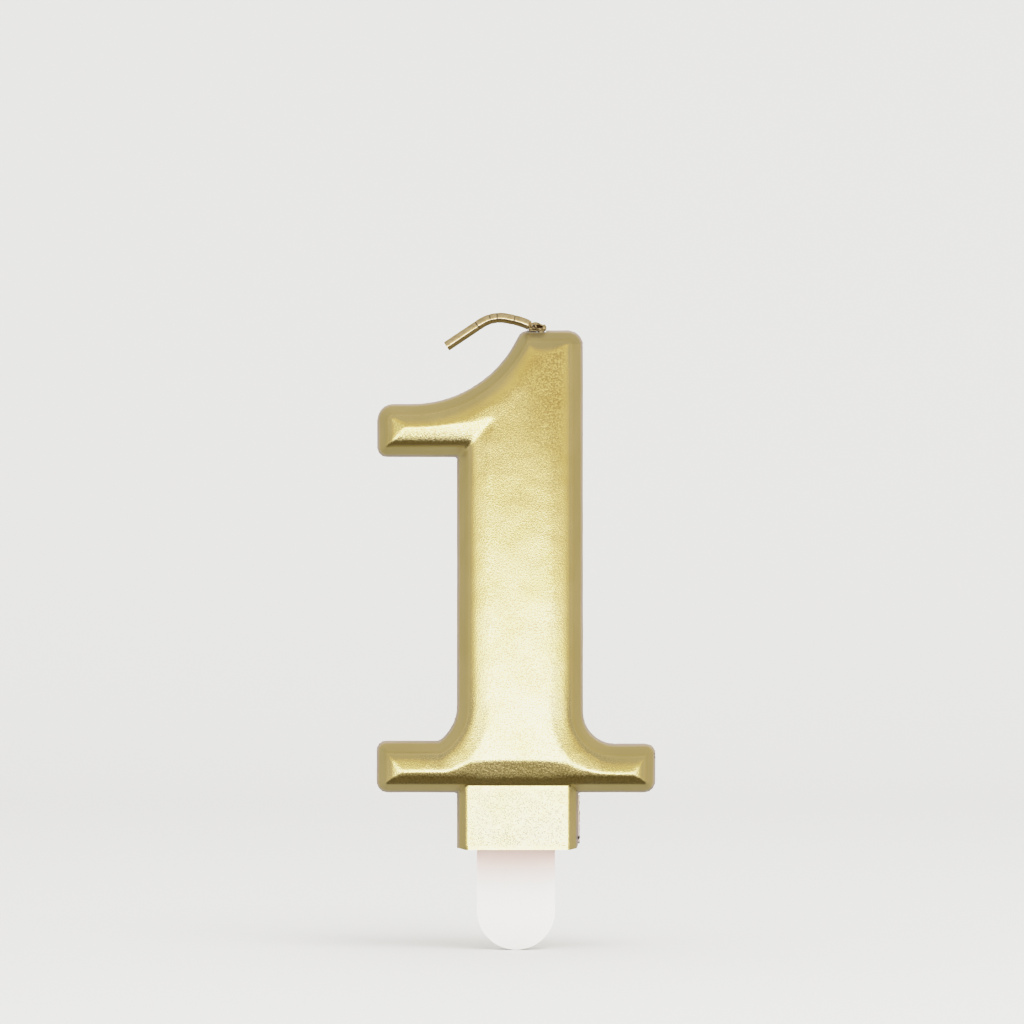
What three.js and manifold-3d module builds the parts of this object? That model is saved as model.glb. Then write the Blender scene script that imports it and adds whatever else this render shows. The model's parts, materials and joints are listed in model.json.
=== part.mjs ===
import * as THREE from "three";
import { mergeVertices } from "three/addons/utils/BufferGeometryUtils.js";
import Module from "manifold-3d";

// A number candle in the shape of a 1, on a plastic blade that is pushed into a cake.
// Millimetres, +Z up. The front faces -Y and +X is to the reader's right.
// X = 0 is the middle of the blade, Y = 0 the plane where the two halves of the mould met,
// and Z = 0 the underside of the wax, where it sits on the icing.

const wasm = await Module();
wasm.setup();

// Wax plinth
const plinthHeight = 8.15;
const plinthWidth = 17.9;
const plinthDepth = 9.5;
const plinthMiddle = 0.25;
const plinthRoot = 3.6; // how far the plinth runs up inside the numeral

// Wax numeral, seen from the front
const numeralHeight = 68.05;
const stemWidth = 18.6;
const stemMiddle = 0.6;
const footSpan = 41.1;
const leftFootHeight = 7.7;
const rightFootHeight = 7.25;
const leftFilletRadius = 6.5;
const leftFilletSink = 1.25; // the left fillet meets its foot at a corner, this far under its tangent height
const rightFilletRadius = 4.7;
const flagReach = 11.75;
const flagHeight = 7.9;
const flagDrop = 10.8; // from the numeral's top down to the flag's top
const sweepRadius = 17.2; // hollow curve from the flag up to the numeral's top
const sweepInset = 6.6; // from the stem's left side out to the middle of that curve

// Rounded corners of the numeral's outline
const topCornerRadius = 2.2;
const sweepTipRadius = 1.8;
const flagUpperRadius = 2.4;
const flagLowerRadius = 1.4;
const footUpperRadius = 1.4;
const footLowerRadius = 1.7;
const plinthCornerRadius = 0.6;

// Section of the wax, alike in front and behind
const bodyDepth = 12.6;
const draftAngle = 14;
const shoulderHeight = 1.4;
const shoulderWidth = 3.6;
const wallPull = 0.72; // how long the drafted wall holds on into the shoulder, as a share of its height
const facePull = 0.72; // how far the face's easing reaches out, as a share of the shoulder's width
const faceFall = 0.27; // how much the face falls on the way, as a share of the shoulder's height
const upperFullness = 0.024; // share by which the upper edges have a deeper section, so a narrower bevel
const shoulderSteps = 12;
const lipWidth = 0.12; // flash on the mould's parting plane
const lipHeight = 0.3;

// Wick
const wickX = 3.68;
const coreDiameter = 1.0;
const coatDiameter = 1.35;
const wickFoot = 18; // the lower end of the wick above the wax's underside
const wickClearance = 0.3;
const wickSeat = 0.05; // between the wax's top and the coat above it
const rootBendInside = 0.15; // inner radius of the sharp bend at the root
const rootBendTurn = 78;
const middleStretch = 4.37; // straight, from the root bend to the knee
const kneeRadius = 5.2;
const kneeTurn = 45.8;
const tipStretch = 6.0; // straight, from the knee to the tip
const lumpWidth = 2.65;
const lumpDepth = 1.9;
const lumpHeight = 1.55;

// Blade and its tongue
const bladeWidth = 11.5;
const bladeThickness = 1.6;
const bladeDrop = 14.9;
const bladeEdge = 0.2;
const tongueLength = 12;
const tongueThickness = 1.2;
const tongueChamfer = 1.5;
const tongueClearance = 0.3;
const ribWidth = 1.0;
const ribSpread = 6.0;
const ribGap = 0.1; // from a grip rib to the slot's wall
const ribStart = 1.2;

// Fineness of the round forms
const cornerSegments = 32;
const filletSegments = 48;
const sweepSegments = 96;
const wickSides = 10;
const wickSteps = 48;
const lumpSides = 14;
const lumpRings = 8;
const weldDistance = 1e-5;

// Places that follow from the sizes
const degrees = Math.PI / 180;
const numeralBottom = plinthHeight;
const numeralTop = plinthHeight + numeralHeight;
const stemLeft = stemMiddle - stemWidth / 2;
const stemRight = stemMiddle + stemWidth / 2;
const footLeft = -footSpan / 2;
const footRight = footSpan / 2;
const flagLeft = stemLeft - flagReach;
const flagTop = numeralTop - flagDrop;
const flagBottom = flagTop - flagHeight;
const sweepX = stemLeft - sweepInset;
const sweepZ = flagTop + sweepRadius;
const faceHalf = bodyDepth / 2;
const far = 2 * (numeralHeight + footSpan);

// Solids from three.js geometry, and geometry from solids

function solidFrom(geometry) {
  geometry.deleteAttribute("normal");
  geometry.deleteAttribute("uv");
  const merged = mergeVertices(geometry, weldDistance);
  const corners = merged.index.array;
  const triangles = [];
  for (let i = 0; i < corners.length; i += 3) {
    const [a, b, c] = [corners[i], corners[i + 1], corners[i + 2]];
    if (a !== b && b !== c && c !== a) {
      triangles.push(a, b, c);
    }
  }
  return new wasm.Manifold(new wasm.Mesh({
    numProp: 3,
    vertProperties: merged.attributes.position.array,
    triVerts: new Uint32Array(triangles),
  }));
}

function meshFrom(name, solid, material) {
  const { vertProperties, triVerts } = solid.getMesh();
  const geometry = new THREE.BufferGeometry();
  geometry.setAttribute("position", new THREE.BufferAttribute(vertProperties, 3));
  geometry.setIndex(new THREE.BufferAttribute(triVerts, 1));
  geometry.computeVertexNormals();
  const mesh = new THREE.Mesh(geometry, material);
  mesh.name = name;
  return mesh;
}

function block(xMin, xMax, zMin, zMax, depth = 4 * faceHalf) {
  const geometry = new THREE.BoxGeometry(xMax - xMin, depth, zMax - zMin);
  geometry.translate((xMin + xMax) / 2, 0, (zMin + zMax) / 2);
  return solidFrom(geometry);
}

// A flat outline in the front view, given depth evenly about the parting plane
function plate(outline, depth, bevel = 0) {
  const geometry = new THREE.ExtrudeGeometry(outline, {
    depth: depth - 2 * bevel,
    bevelEnabled: bevel > 0,
    bevelThickness: bevel,
    bevelSize: bevel,
    bevelOffset: -bevel,
    bevelSegments: 2,
    curveSegments: cornerSegments / 2,
  });
  geometry.translate(0, 0, bevel - depth / 2);
  geometry.rotateX(Math.PI / 2);
  return solidFrom(geometry);
}

// The wax's section: x is the distance in from the outline, y the depth from the parting plane.
// It starts with the lip, climbs the drafted wall and eases over the shoulder into the face.

const wallFoot = new THREE.Vector2(lipWidth, lipHeight / 2);
const wallTop = new THREE.Vector2(0, faceHalf - shoulderHeight);
wallTop.x = wallFoot.x + (wallTop.y - wallFoot.y) * Math.tan(draftAngle * degrees);
const faceEdge = new THREE.Vector2(wallTop.x + shoulderWidth, faceHalf);
const shoulder = new THREE.CubicBezierCurve(
  wallTop,
  new THREE.Vector2(Math.tan(draftAngle * degrees), 1).multiplyScalar(wallPull * shoulderHeight).add(wallTop),
  new THREE.Vector2(faceEdge.x - facePull * shoulderWidth, faceEdge.y - faceFall * shoulderHeight),
  faceEdge,
);

// The front half of the section as far in as reach, from the outline to the face
function sectionTo(reach, fullness) {
  const halfSection = [new THREE.Vector2(0, lipHeight / 2), wallFoot];
  for (const point of [...shoulder.getPoints(shoulderSteps), new THREE.Vector2(far, faceHalf)]) {
    halfSection.push(new THREE.Vector2(point.x, wallFoot.y + (point.y - wallFoot.y) * (1 + fullness)));
  }
  const inside = halfSection.filter((point) => point.x < reach);
  const next = halfSection[inside.length] ?? halfSection.at(-1);
  const last = inside.at(-1);
  const share = Math.min(1, (reach - last.x) / (next.x - last.x || 1));
  inside.push(new THREE.Vector2(reach, last.y + share * (next.y - last.y)));
  return inside;
}

function mirrored(points) {
  return points.map((point) => new THREE.Vector2(point.x, -point.y));
}

// All the wax on the inner side of a straight edge through (x, z)
function waxInsideEdge(x, z, inwardX, inwardZ, fullness = 0) {
  const front = sectionTo(far, fullness);
  const outline = new THREE.Shape([...mirrored(front), ...front.reverse()]);
  const geometry = new THREE.ExtrudeGeometry(outline, { depth: 2 * far, bevelEnabled: false });
  geometry.translate(0, 0, -far);
  geometry.rotateY(Math.atan2(-inwardZ, inwardX));
  geometry.translate(x, 0, z);
  return solidFrom(geometry);
}

// All the wax outside a round hollow about (x, z)
function waxRoundHollow(x, z, radius, segments, fullness = 0) {
  const front = sectionTo(far, fullness).map((point) => new THREE.Vector2(radius + point.x, point.y));
  const profile = [...mirrored(front), ...front.reverse()];
  const geometry = new THREE.LatheGeometry([...profile, profile[0]], segments);
  geometry.translate(x, 0, z);
  return solidFrom(geometry);
}

// A round button of wax about (x, z), which rounds off a corner
function waxButton(x, z, radius, fullness) {
  const front = sectionTo(radius, fullness).map((point) => new THREE.Vector2(radius - point.x, point.y));
  const profile = [...mirrored(front).reverse(), ...front];
  const geometry = new THREE.LatheGeometry(profile, cornerSegments);
  geometry.translate(x, 0, z);
  return solidFrom(geometry);
}

// Takes the tip of a square corner at (x, z) off a solid and puts a button in its place
function roundCorner(solid, x, z, sideX, sideZ, radius, fullness = 0) {
  const middleX = x - sideX * radius;
  const middleZ = z - sideZ * radius;
  const past = radius / 2;
  const tip = block(
    Math.min(middleX, x + sideX * past),
    Math.max(middleX, x + sideX * past),
    Math.min(middleZ, z + sideZ * past),
    Math.max(middleZ, z + sideZ * past),
  );
  return solid.subtract(tip).add(waxButton(middleX, middleZ, radius, fullness));
}

// Rounds the sharp tip between the sweep and the numeral's top
function roundSweepTip(solid) {
  const middleZ = numeralTop - sweepTipRadius;
  const reach = sweepRadius + sweepTipRadius;
  const middleX = sweepX + Math.sqrt(reach ** 2 - (middleZ - sweepZ) ** 2);
  const towardsSweep = new THREE.Vector2(sweepX - middleX, sweepZ - middleZ).normalize();
  const past = 1.5 * sweepTipRadius;
  const wedge = new THREE.Shape([
    new THREE.Vector2(middleX, middleZ),
    new THREE.Vector2(middleX, middleZ + past),
    new THREE.Vector2(middleX + towardsSweep.x * past, middleZ + past + towardsSweep.y * past),
    new THREE.Vector2(middleX + towardsSweep.x * past, middleZ + towardsSweep.y * past),
  ]);
  const button = waxButton(middleX, middleZ, sweepTipRadius, upperFullness);
  return solid.subtract(plate(wedge, 4 * faceHalf)).add(button);
}

// The numeral's stem and flag. The flag's underside meets the stem in a mitred valley.
function stemWithFlag() {
  const sweep = waxRoundHollow(sweepX, sweepZ, sweepRadius, sweepSegments, upperFullness)
    .intersect(block(sweepX, far, -far, far))
    .add(waxInsideEdge(sweepX, flagTop, 0, -1, upperFullness));
  return waxInsideEdge(stemLeft, flagBottom, 1, 0)
    .add(waxInsideEdge(stemLeft, flagBottom, 0, 1))
    .intersect(waxInsideEdge(stemRight, flagBottom, -1, 0))
    .intersect(waxInsideEdge(flagLeft, flagBottom, 1, 0))
    .intersect(waxInsideEdge(stemMiddle, numeralTop, 0, -1, upperFullness))
    .intersect(waxInsideEdge(stemMiddle, numeralBottom, 0, 1))
    .intersect(sweep);
}

// One half of the foot with the fillet that runs up into the stem; side is -1 for left, 1 for right
function foot(side, height, filletRadius, filletSink) {
  const top = numeralBottom + height;
  const toe = side * footSpan / 2;
  const filletX = stemMiddle + side * (stemWidth / 2 + filletRadius);
  const filletZ = top + filletRadius - filletSink;
  const bar = waxInsideEdge(toe, top, -side, 0)
    .intersect(waxInsideEdge(toe, top, 0, -1))
    .intersect(block(Math.min(stemMiddle, side * far), Math.max(stemMiddle, side * far), -far, far));
  const fillet = waxRoundHollow(filletX, filletZ, filletRadius, filletSegments)
    .intersect(block(Math.min(stemMiddle, filletX), Math.max(stemMiddle, filletX), -far, filletZ));
  return bar.add(fillet).intersect(waxInsideEdge(stemMiddle, numeralBottom, 0, 1));
}

// The plinth: an upright bar with the numeral's drafted walls and lip on its two sides
function plinth() {
  const halfWidth = plinthWidth / 2;
  const halfDepth = plinthDepth / 2;
  const faceInset = lipWidth + (halfDepth - lipHeight / 2) * Math.tan(draftAngle * degrees);
  const quarter = [
    new THREE.Vector2(halfWidth, lipHeight / 2),
    new THREE.Vector2(halfWidth - lipWidth, lipHeight / 2),
    new THREE.Vector2(halfWidth - faceInset, halfDepth),
  ];
  const half = [...quarter, ...quarter.map((point) => new THREE.Vector2(-point.x, point.y)).reverse()];
  const outline = new THREE.Shape([...half, ...mirrored(half).reverse()]);
  const height = plinthHeight + plinthRoot;
  const geometry = new THREE.ExtrudeGeometry(outline, { depth: height, bevelEnabled: false });
  geometry.translate(plinthMiddle, 0, 0);
  const side = plinthMiddle + halfWidth;
  const corner = new THREE.Shape();
  corner.moveTo(side - plinthCornerRadius, 0);
  corner.lineTo(side + plinthCornerRadius, 0);
  corner.lineTo(side + plinthCornerRadius, plinthCornerRadius);
  corner.lineTo(side, plinthCornerRadius);
  corner.absarc(side - plinthCornerRadius, plinthCornerRadius, plinthCornerRadius, 0, -Math.PI / 2, true);
  return solidFrom(geometry).subtract(plate(corner, 4 * faceHalf));
}

function tongueSlot() {
  const halfWidth = bladeWidth / 2 + tongueClearance;
  const depth = tongueThickness + 2 * tongueClearance;
  return block(-halfWidth, halfWidth, -tongueClearance, tongueLength + tongueClearance, depth);
}

function rod(diameter, zMin, zMax) {
  const geometry = new THREE.CylinderGeometry(diameter / 2, diameter / 2, zMax - zMin, wickSides);
  geometry.rotateX(Math.PI / 2);
  geometry.translate(wickX, 0, (zMin + zMax) / 2);
  return solidFrom(geometry);
}

function numeralBody() {
  let wax = stemWithFlag()
    .add(foot(-1, leftFootHeight, leftFilletRadius, leftFilletSink))
    .add(foot(1, rightFootHeight, rightFilletRadius, 0));
  const leftFootTop = numeralBottom + leftFootHeight;
  const rightFootTop = numeralBottom + rightFootHeight;
  wax = roundCorner(wax, stemRight, numeralTop, 1, 1, topCornerRadius, upperFullness / 2);
  wax = roundCorner(wax, flagLeft, flagTop, -1, 1, flagUpperRadius, upperFullness / 2);
  wax = roundCorner(wax, flagLeft, flagBottom, -1, -1, flagLowerRadius);
  wax = roundCorner(wax, footLeft, leftFootTop, -1, 1, footUpperRadius);
  wax = roundCorner(wax, footLeft, numeralBottom, -1, -1, footLowerRadius);
  wax = roundCorner(wax, footRight, rightFootTop, 1, 1, footUpperRadius);
  wax = roundCorner(wax, footRight, numeralBottom, 1, -1, footLowerRadius);
  const wickHole = rod(coreDiameter + 2 * wickClearance, wickFoot - wickClearance, far);
  return roundSweepTip(wax).add(plinth()).subtract(tongueSlot()).subtract(wickHole);
}

// The wick: a bare core inside the wax, and outside it the coated end, bent over to the left.
// Its middle line is walked from the root: straight, a sharp bend, straight, a wide bend, straight.
function wick() {
  const rootRadius = coatDiameter / 2 + rootBendInside;
  const rootAngle = rootBendTurn * degrees;
  const kneeAngle = rootAngle + kneeTurn * degrees;
  const rootMiddle = new THREE.Vector2(wickX - rootRadius, numeralTop + 2 * wickSeat);
  const rootEnd = new THREE.Vector2(Math.cos(rootAngle), Math.sin(rootAngle))
    .multiplyScalar(rootRadius)
    .add(rootMiddle);
  const outwards = new THREE.Vector2(-Math.sin(rootAngle), Math.cos(rootAngle));
  const kneeStart = rootEnd.clone().addScaledVector(outwards, middleStretch);
  const kneeMiddle = new THREE.Vector2(-outwards.y, outwards.x).multiplyScalar(kneeRadius).add(kneeStart);
  const kneeEnd = new THREE.Vector2(Math.cos(kneeAngle), Math.sin(kneeAngle))
    .multiplyScalar(kneeRadius)
    .add(kneeMiddle);
  const downwards = new THREE.Vector2(-Math.sin(kneeAngle), Math.cos(kneeAngle));
  const tip = kneeEnd.clone().addScaledVector(downwards, tipStretch);

  const route = new THREE.Path([new THREE.Vector2(wickX, numeralTop + wickSeat)]);
  route.lineTo(wickX, rootMiddle.y);
  route.absarc(rootMiddle.x, rootMiddle.y, rootRadius, 0, rootAngle);
  route.lineTo(kneeStart.x, kneeStart.y);
  route.absarc(kneeMiddle.x, kneeMiddle.y, kneeRadius, rootAngle, kneeAngle);
  route.lineTo(tip.x, tip.y);
  const points = route.getSpacedPoints(wickSteps).map((point) => new THREE.Vector3(point.x, 0, point.y));
  const coat = new THREE.ExtrudeGeometry(new THREE.Shape().absarc(0, 0, coatDiameter / 2, 0, 2 * Math.PI), {
    steps: wickSteps,
    curveSegments: wickSides / 2,
    extrudePath: new THREE.CatmullRomCurve3(points),
  });
  const lump = new THREE.SphereGeometry(0.5, lumpSides, lumpRings);
  lump.scale(lumpWidth, lumpDepth, lumpHeight);
  lump.translate(wickX + coatDiameter / 2 - lumpWidth / 2, 0, numeralTop + wickSeat + lumpHeight / 2);
  return rod(coreDiameter, wickFoot, rootMiddle.y).add(solidFrom(coat)).add(solidFrom(lump));
}

// The blade: a plain flat pick with a half-round tip. From its square top a thinner tongue runs up
// into the wax, with a chamfered lead and low ribs on both faces that grip the slot.
function cakeHolder() {
  const half = bladeWidth / 2;
  const blade = new THREE.Shape();
  blade.moveTo(half, half - bladeDrop);
  blade.lineTo(half, 0);
  blade.lineTo(-half, 0);
  blade.lineTo(-half, half - bladeDrop);
  blade.absarc(0, half - bladeDrop, half, Math.PI, 2 * Math.PI);
  const tongueFoot = -bladeThickness;
  const tongue = new THREE.Shape([
    new THREE.Vector2(half, tongueFoot),
    new THREE.Vector2(half, tongueLength - tongueChamfer),
    new THREE.Vector2(half - tongueChamfer, tongueLength),
    new THREE.Vector2(tongueChamfer - half, tongueLength),
    new THREE.Vector2(-half, tongueLength - tongueChamfer),
    new THREE.Vector2(-half, tongueFoot),
  ]);
  let holder = plate(blade, bladeThickness, bladeEdge).add(plate(tongue, tongueThickness, bladeEdge));
  const ribHeight = tongueClearance - ribGap;
  for (const x of [-ribSpread / 2, ribSpread / 2]) {
    const rib = new THREE.Shape([
      new THREE.Vector2(x - ribWidth / 2, 0),
      new THREE.Vector2(x, -tongueThickness / 2 - ribHeight),
      new THREE.Vector2(x + ribWidth / 2, 0),
      new THREE.Vector2(x, tongueThickness / 2 + ribHeight),
    ]);
    const geometry = new THREE.ExtrudeGeometry(rib, {
      depth: tongueLength - tongueChamfer - 2 * ribStart,
      bevelEnabled: false,
    });
    geometry.translate(0, 0, ribStart);
    holder = holder.add(solidFrom(geometry));
  }
  return holder;
}

const goldLacquer = new THREE.MeshStandardMaterial({ color: 0xd2c28c, roughness: 0.32, metalness: 0.75 });
const goldCoat = new THREE.MeshStandardMaterial({ color: 0xa89064, roughness: 0.35, metalness: 0.7 });
const whitePlastic = new THREE.MeshStandardMaterial({ color: 0xf1eeec, roughness: 0.38, metalness: 0 });

const candle = new THREE.Group();
candle.add(meshFrom("numeral_body", numeralBody(), goldLacquer));
candle.add(meshFrom("wick", wick(), goldCoat));
candle.add(meshFrom("cake_holder", cakeHolder(), whitePlastic));

export default candle;
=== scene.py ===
import json
import math

import bpy
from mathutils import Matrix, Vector, noise

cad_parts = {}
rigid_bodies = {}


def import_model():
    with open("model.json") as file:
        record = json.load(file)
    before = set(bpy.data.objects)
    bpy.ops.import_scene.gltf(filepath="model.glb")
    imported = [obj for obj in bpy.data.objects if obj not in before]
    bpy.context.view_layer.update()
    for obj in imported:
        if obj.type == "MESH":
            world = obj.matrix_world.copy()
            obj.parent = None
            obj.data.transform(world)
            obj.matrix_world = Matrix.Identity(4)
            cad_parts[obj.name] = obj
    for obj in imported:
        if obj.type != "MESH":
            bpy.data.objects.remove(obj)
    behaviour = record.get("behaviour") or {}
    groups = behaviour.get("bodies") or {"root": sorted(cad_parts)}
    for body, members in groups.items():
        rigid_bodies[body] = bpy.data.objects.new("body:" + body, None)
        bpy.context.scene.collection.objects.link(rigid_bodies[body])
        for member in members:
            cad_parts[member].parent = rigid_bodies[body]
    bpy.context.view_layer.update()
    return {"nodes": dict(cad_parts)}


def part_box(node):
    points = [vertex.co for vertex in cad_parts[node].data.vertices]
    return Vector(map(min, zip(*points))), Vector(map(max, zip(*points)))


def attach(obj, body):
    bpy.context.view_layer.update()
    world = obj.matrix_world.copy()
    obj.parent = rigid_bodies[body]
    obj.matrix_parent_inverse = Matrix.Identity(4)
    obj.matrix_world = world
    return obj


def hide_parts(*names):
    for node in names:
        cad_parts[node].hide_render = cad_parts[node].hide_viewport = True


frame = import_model()
scene = bpy.context.scene
millimetre = 0.001
squarely = 0.9  # a face looks along an axis when its normal has more than this of it

# Number candle: a lacquered wax 1 with its wick, on a white plastic blade.
# Metres, +Z up, front towards -Y, the underside of the wax at Z = 0.
# Where a fade takes a pair of numbers, it starts at the first and is full at the second.


# Small helpers for working by operators

def pickNothing():
    if bpy.context.object and bpy.context.object.mode != "OBJECT":
        bpy.ops.object.mode_set(mode="OBJECT")
    for other in scene.objects:
        other.select_set(False)


def pickOnly(piece):
    pickNothing()
    bpy.context.view_layer.objects.active = piece
    piece.select_set(True)


def openMesh(piece, pickAll=False):
    pickOnly(piece)
    bpy.ops.object.mode_set(mode="EDIT")
    bpy.ops.mesh.select_all(action="SELECT" if pickAll else "DESELECT")


def closeMesh():
    bpy.ops.object.mode_set(mode="OBJECT")


# picks the parts of one kind for which test is true, and leaves the mesh open
def pickParts(piece, kind, test):
    openMesh(piece)
    bpy.ops.mesh.select_mode(type=kind)
    bpy.ops.mesh.select_all(action="DESELECT")
    closeMesh()
    mesh = piece.data
    parts = {"VERT": mesh.vertices, "EDGE": mesh.edges, "FACE": mesh.polygons}[kind]
    for part in parts:
        part.select = bool(test(part))
    bpy.ops.object.mode_set(mode="EDIT")


# cuts the mesh through at each level, and leaves it open
def cutAcross(piece, levels):
    openMesh(piece, pickAll=True)
    for level in levels:
        bpy.ops.mesh.select_all(action="SELECT")
        bpy.ops.mesh.bisect(plane_co=(0, 0, level), plane_no=(0, 0, 1))


def joinInto(piece, others):
    pickOnly(piece)
    for other in others:
        other.select_set(True)
    bpy.ops.object.join()


def applyModifier(piece, kind, **settings):
    pickOnly(piece)
    modifier = piece.modifiers.new(kind.lower(), kind)
    for setting, value in settings.items():
        setattr(modifier, setting, value)
    bpy.ops.object.modifier_apply(modifier=modifier.name)


# the mesh keeps its place, and the object goes back to the origin
def settle(piece):
    pickOnly(piece)
    bpy.ops.object.transform_apply(location=True, rotation=True, scale=True)


def smoothPiece(piece, angle):
    pickOnly(piece)
    bpy.ops.object.shade_smooth_by_angle(angle=math.radians(angle))


def finishPiece(piece, body, slotName, material, *nodes):
    piece.data.materials.clear()
    piece.data.materials.append(material)
    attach(piece, body)
    if nodes:
        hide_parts(*nodes)


# 0 below low, 1 above high, eased between
def rise(value, low, high):
    share = min(1.0, max(0.0, (value - low) / (high - low)))
    return share * share * (3 - 2 * share)


# Shader sums: a wire is a socket that takes part in Python sums

class Wire:
    def __init__(self, recipe, socket):
        self.recipe = recipe
        self.socket = socket

    def sum(self, operation, *others):
        return self.recipe.add("ShaderNodeMath", {"operation": operation}, dict(enumerate((self, *others))))

    def __add__(self, other):
        return self.sum("ADD", other)

    def __radd__(self, other):
        return self.sum("ADD", other)

    def __sub__(self, other):
        return self.sum("SUBTRACT", other)

    def __rsub__(self, other):
        return self.recipe.add("ShaderNodeMath", {"operation": "SUBTRACT"}, {0: other, 1: self})

    def __mul__(self, other):
        return self.sum("MULTIPLY", other)

    def __rmul__(self, other):
        return self.sum("MULTIPLY", other)

    def __truediv__(self, other):
        return self.sum("DIVIDE", other)

    def __rtruediv__(self, other):
        return self.recipe.add("ShaderNodeMath", {"operation": "DIVIDE"}, {0: other, 1: self})

    def __abs__(self):
        return self.sum("ABSOLUTE")

    def other(self, name):
        return Wire(self.recipe, self.socket.node.outputs[name])

    # 0 below low, 1 above high, with a smooth step between
    def step(self, low, high):
        inputs = {"Value": self, "From Min": low, "From Max": high}
        return self.recipe.add("ShaderNodeMapRange", {"interpolation_type": "SMOOTHSTEP"}, inputs)


class Recipe:
    def __init__(self, owner):
        owner.use_nodes = True
        self.owner = owner
        self.tree = owner.node_tree
        self.tree.nodes.clear()

    def add(self, kind, settings=None, inputs=None, output=0):
        node = self.tree.nodes.new(kind)
        for setting, value in (settings or {}).items():
            setattr(node, setting, value)
        for name, value in (inputs or {}).items():
            if isinstance(value, Wire):
                self.tree.links.new(value.socket, node.inputs[name])
            else:
                node.inputs[name].default_value = value
        return Wire(self, node.outputs[output]) if node.outputs else node

    def place(self):
        return self.add("ShaderNodeTexCoord").other("Object")

    def normal(self):
        return self.add("ShaderNodeNewGeometry").other("Normal")

    def attribute(self, name):
        return self.add("ShaderNodeAttribute", {"attribute_name": name}).other("Fac")

    def axes(self, vector):
        across = self.add("ShaderNodeSeparateXYZ", {}, {0: vector})
        return across, across.other("Y"), across.other("Z")

    def noise(self, vector, scale, detail=2.0, roughness=0.5):
        inputs = {"Vector": vector, "Scale": scale, "Detail": detail, "Roughness": roughness}
        return self.add("ShaderNodeTexNoise", {}, inputs)

    def mix(self, factor, first, second):
        inputs = {0: factor, 6: first, 7: second}
        return self.add("ShaderNodeMix", {"data_type": "RGBA"}, inputs, 2)

    def shade(self, first, second):
        return self.add("ShaderNodeVectorMath", {"operation": "MULTIPLY"}, {0: first, 1: second})

    def bump(self, strength, depth, height):
        return self.add("ShaderNodeBump", {}, {"Strength": strength, "Distance": depth, "Height": height})

    def finish(self, shader):
        self.add("ShaderNodeOutputMaterial", {}, {"Surface": shader})
        return self.owner


def srgb(red, green, blue):
    def linear(level):
        level = level / 255
        return level / 12.92 if level <= 0.04045 else ((level + 0.055) / 1.055) ** 2.4
    return (linear(red), linear(green), linear(blue), 1.0)


# Camera: straight on, as far off as a long studio lens stands

view = {
    "distance": 0.80,
    "frameWidth": 0.1507,
    "middleX": -0.00059,
    "middleZ": 0.04946,
    "sensor": 0.036,
    "nearest": 0.01,
    "farthest": 20,
}


def makeCamera():
    bpy.ops.object.camera_add(location=(view["middleX"], -view["distance"], view["middleZ"]))
    camera = bpy.context.object
    camera.name = "camera"
    camera.rotation_euler = (math.radians(90), 0, 0)
    camera.data.sensor_width = view["sensor"] / millimetre
    camera.data.lens = view["sensor"] / millimetre * view["distance"] / view["frameWidth"]
    camera.data.clip_start = view["nearest"]
    camera.data.clip_end = view["farthest"]
    scene.camera = camera


# Floor: a pale sweep that curves up behind

floorSweep = {
    "width": 4.0,
    "front": -1.5,
    "back": 0.9,
    "height": 1.6,
    "bend": 0.5,
    "bendSegments": 24,
    "margin": 0.01,
    "colour": (0.70, 0.70, 0.69, 1),
    "paleColour": (0.78, 0.78, 0.77, 1),
    "cloudScale": 3.0,
    "cloudShare": 0.15,
    "roughness": 0.9,
}


def makeFloor():
    pickNothing()
    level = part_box("cake_holder")[0].z
    depth = floorSweep["back"] - floorSweep["front"]
    middle = (floorSweep["back"] + floorSweep["front"]) / 2
    bpy.ops.mesh.primitive_plane_add(size=1, location=(0, middle, level))
    floor = bpy.context.object
    floor.name = "floor"
    floor.scale = (floorSweep["width"], depth, 1)
    settle(floor)

    def atBack(edge):
        ends = [floor.data.vertices[i].co for i in edge.vertices]
        return all(end.y > floorSweep["back"] - floorSweep["margin"] for end in ends)

    def atBend(edge):
        ends = [floor.data.vertices[i].co for i in edge.vertices]
        return atBack(edge) and all(end.z < level + floorSweep["margin"] for end in ends)

    pickParts(floor, "EDGE", atBack)
    bpy.ops.mesh.extrude_region_move(TRANSFORM_OT_translate={"value": (0, 0, floorSweep["height"])})
    closeMesh()
    pickParts(floor, "EDGE", atBend)
    bpy.ops.mesh.bevel(offset=floorSweep["bend"], segments=floorSweep["bendSegments"])
    closeMesh()
    pickOnly(floor)
    bpy.ops.object.shade_smooth()
    recipe = Recipe(bpy.data.materials.new("pale floor"))
    cloud = recipe.noise(recipe.place(), floorSweep["cloudScale"])
    tone = recipe.mix(cloud * floorSweep["cloudShare"], floorSweep["colour"], floorSweep["paleColour"])
    shader = recipe.add("ShaderNodeBsdfPrincipled", {}, {
        "Base Color": tone, "Roughness": floorSweep["roughness"]})
    floor.data.materials.append(recipe.finish(shader))
    floor.visible_glossy = False


# Light: a low softbox in front that fades upwards, fill from above, and a quiet warm studio all round

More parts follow.
